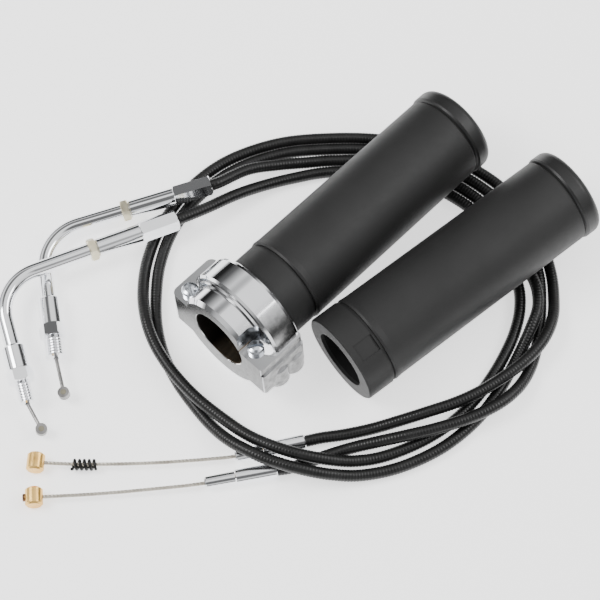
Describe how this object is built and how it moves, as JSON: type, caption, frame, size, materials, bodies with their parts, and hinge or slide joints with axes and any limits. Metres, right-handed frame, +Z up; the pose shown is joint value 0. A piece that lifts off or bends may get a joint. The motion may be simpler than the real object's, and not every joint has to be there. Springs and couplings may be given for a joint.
{
  "type": "throttle grip",
  "caption": "Twist throttle grip kit for a motorcycle bar: split clamp housing with turning sleeve and rubber grip, matching plain grip, and looped throttle and idle cables with elbows.",
  "frame": {"origin": "centre of the handlebar bore at the clamp's inboard face", "axes": "+X along the handlebar bore, outboard through the throttle grip; +Z up from the surface the kit lies on"},
  "size_m": [0.2473, 0.1863, 0.0484],
  "materials": {
    "chrome_housing": "polished chrome plate",
    "chrome_fittings": "polished chrome plate",
    "bright_screw": "bright plated",
    "dark_screw": "dark steel",
    "pad_brass": "plain",
    "sleeve_metal": "bronze passivated",
    "liner_plastic": "moulded",
    "grip_rubber": "satin moulded rubber",
    "cable_vinyl": "ribbed black vinyl",
    "zinc_nut": "yellow zinc plate",
    "steel_wire": "twisted strand",
    "brass_barrel": "turned brass",
    "black_spring": "black oxide"
  },
  "bodies": {
    "clamp_and_jackets": {"housing_lower": "chrome_housing", "housing_upper": "chrome_housing", "clamp_screws": "bright_screw", "friction_pad": "pad_brass", "throttle_jacket": "cable_vinyl", "idle_jacket": "cable_vinyl", "throttle_ferrule": "chrome_fittings", "idle_ferrule": "chrome_fittings"},
    "throttle_grip": {"throttle_sleeve": "sleeve_metal", "throttle_rubber": "grip_rubber", "throttle_cap": "grip_rubber"},
    "friction_screw": {"friction_screw": "dark_screw"},
    "left_grip": {"left_liner": "liner_plastic", "left_rubber": "grip_rubber", "left_cap": "grip_rubber"},
    "throttle_adjuster": {"throttle_adjuster": "chrome_fittings"},
    "throttle_elbow": {"throttle_elbow": "chrome_fittings"},
    "throttle_jam_nut": {"throttle_jam_nut": "zinc_nut"},
    "throttle_fitting": {"throttle_fitting": "chrome_fittings"},
    "throttle_drum_wire": {"throttle_drum_wire": "steel_wire"},
    "throttle_carb_end": {"throttle_carb_wire": "steel_wire", "throttle_barrel": "brass_barrel"},
    "idle_adjuster": {"idle_adjuster": "chrome_fittings"},
    "idle_elbow": {"idle_elbow": "chrome_fittings"},
    "idle_jam_nut": {"idle_jam_nut": "zinc_nut"},
    "idle_fitting": {"idle_fitting": "chrome_fittings"},
    "idle_drum_wire": {"idle_drum_wire": "steel_wire"},
    "idle_carb_end": {"idle_carb_wire": "steel_wire", "idle_barrel": "brass_barrel", "idle_spring": "black_spring"}
  },
  "joints": [
    {"name": "throttle_twist", "type": "hinge", "parent": "clamp_and_jackets", "child": "throttle_grip", "pos_m": [0.06, 0, 0], "axis": [-1, 0, 0], "range_deg": [0, 85]},
    {"name": "friction_screw_turn", "type": "hinge", "parent": "clamp_and_jackets", "child": "friction_screw", "pos_m": [0.014, -0.00153, -0.02195], "axis": [0, 0.0698, 0.9976], "continuous": true},
    {"name": "left_grip_lift", "type": "slide", "parent": "clamp_and_jackets", "child": "left_grip", "axis": [0, 0, 1], "range_m": [0, 0.04]},
    {"name": "throttle_elbow_slide", "type": "slide", "parent": "clamp_and_jackets", "child": "throttle_elbow", "axis": [-0.8684, 0.4853, -0.1022], "range_m": [-0.008, 0]},
    {"name": "throttle_adjuster_turn", "type": "hinge", "parent": "clamp_and_jackets", "child": "throttle_adjuster", "pos_m": [0.04182, 0.06165, -0.01352], "axis": [-0.8684, 0.4853, -0.1022], "range_deg": [-2268, 0]},
    {"name": "throttle_jam_nut_turn", "type": "hinge", "parent": "clamp_and_jackets", "child": "throttle_jam_nut", "pos_m": [0.01854, 0.07466, -0.01626], "axis": [-0.8684, 0.4853, -0.1022], "continuous": true},
    {"name": "throttle_fitting_swivel", "type": "hinge", "parent": "throttle_elbow", "child": "throttle_fitting", "pos_m": [-0.03924, 0.0566, -0.01945], "axis": [-0.5882, -0.8086, 0.0124], "continuous": true},
    {"name": "throttle_drum_end_pull", "type": "slide", "parent": "throttle_elbow", "child": "throttle_drum_wire", "axis": [-0.5882, -0.8086, 0.0124], "range_m": [0, 0.012]},
    {"name": "throttle_carb_end_draw", "type": "slide", "parent": "clamp_and_jackets", "child": "throttle_carb_end", "axis": [0.8305, -0.5571, 0], "range_m": [0, 0.012]},
    {"name": "idle_elbow_slide", "type": "slide", "parent": "clamp_and_jackets", "child": "idle_elbow", "axis": [-0.9243, 0.3812, 0.0204], "range_m": [0, 0.008]},
    {"name": "idle_adjuster_turn", "type": "hinge", "parent": "clamp_and_jackets", "child": "idle_adjuster", "pos_m": [0.02036, 0.05931, -0.0132], "axis": [-0.9243, 0.3812, 0.0204], "range_deg": [0, 2268]},
    {"name": "idle_jam_nut_turn", "type": "hinge", "parent": "clamp_and_jackets", "child": "idle_jam_nut", "pos_m": [-0.00441, 0.06953, -0.01265], "axis": [-0.9243, 0.3812, 0.0204], "continuous": true},
    {"name": "idle_fitting_swivel", "type": "hinge", "parent": "idle_elbow", "child": "idle_fitting", "pos_m": [-0.06224, 0.05042, -0.01689], "axis": [-0.48, -0.8682, -0.1262], "continuous": true},
    {"name": "idle_drum_end_pull", "type": "slide", "parent": "idle_elbow", "child": "idle_drum_wire", "axis": [-0.48, -0.8682, -0.1262], "range_m": [0, 0.004]},
    {"name": "idle_carb_end_draw", "type": "slide", "parent": "clamp_and_jackets", "child": "idle_carb_end", "axis": [0.848, -0.53, 0], "range_m": [0, 0.004]}
  ],
  "couplings": [
    {"joint": "throttle_adjuster_turn", "follows": "throttle_elbow_slide", "rad_per_m": 4947.4},
    {"joint": "throttle_carb_end_draw", "follows": "throttle_drum_end_pull", "ratio": 1},
    {"joint": "idle_adjuster_turn", "follows": "idle_elbow_slide", "rad_per_m": 4947.4},
    {"joint": "idle_carb_end_draw", "follows": "idle_drum_end_pull", "ratio": 1}
  ]
}
